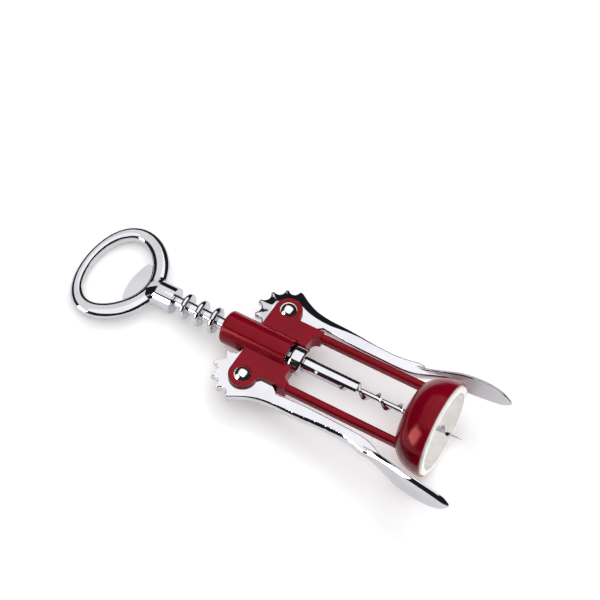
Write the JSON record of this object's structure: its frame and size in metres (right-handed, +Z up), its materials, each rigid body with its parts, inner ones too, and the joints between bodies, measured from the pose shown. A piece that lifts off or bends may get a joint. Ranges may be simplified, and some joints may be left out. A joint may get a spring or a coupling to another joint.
{
  "type": "wing corkscrew",
  "caption": "Double-lever corkscrew: ring handle with cap lifter on a grooved spindle that drives a screw through a red cast frame with a bell mouth, raised and lowered by toothed side levers.",
  "frame": {"origin": "centre of the bell mouth on the screw axis, in the plane of the liner's rim, where a bottle neck enters", "axes": "+X along the screw axis out of the bell mouth, +Y towards the left lever, +Z up out of the plane in which both levers swing"},
  "size_m": [0.1657, 0.0532, 0.036],
  "materials": {
    "red_paint": "gloss",
    "ivory_plastic": "gloss",
    "rivet_metal": "satin",
    "chrome_plate": "polished",
    "plain_steel": "satin"
  },
  "bodies": {
    "frame": {"frame_casting": "red_paint", "bell_liner": "ivory_plastic", "left_rivet": "rivet_metal", "right_rivet": "rivet_metal"},
    "left_lever": {"left_lever": "chrome_plate"},
    "right_lever": {"right_lever": "chrome_plate"},
    "rack": {"rack_sleeve": "chrome_plate"},
    "spindle": {"spindle_rod": "plain_steel", "worm": "chrome_plate", "worm_pin": "plain_steel", "handle_ring": "chrome_plate"}
  },
  "joints": [
    {"name": "left_lever_pivot", "type": "hinge", "parent": "frame", "child": "left_lever", "pos_m": [-0.0722, 0.016, 0], "axis": [0, 0, 1], "range_deg": [0, 120]},
    {"name": "right_lever_pivot", "type": "hinge", "parent": "frame", "child": "right_lever", "pos_m": [-0.0722, -0.016, 0], "axis": [0, 0, -1], "range_deg": [0, 120]},
    {"name": "rack_slide", "type": "slide", "parent": "frame", "child": "rack", "axis": [1, 0, 0], "range_m": [0, 0.02495]},
    {"name": "handle_spin", "type": "hinge", "parent": "rack", "child": "spindle", "pos_m": [-0.1107, 0, 0], "axis": [1, 0, 0], "continuous": true}
  ],
  "couplings": [
    {"joint": "right_lever_pivot", "follows": "left_lever_pivot", "ratio": 1},
    {"joint": "rack_slide", "follows": "left_lever_pivot", "m_per_rad": 0.0119}
  ]
}
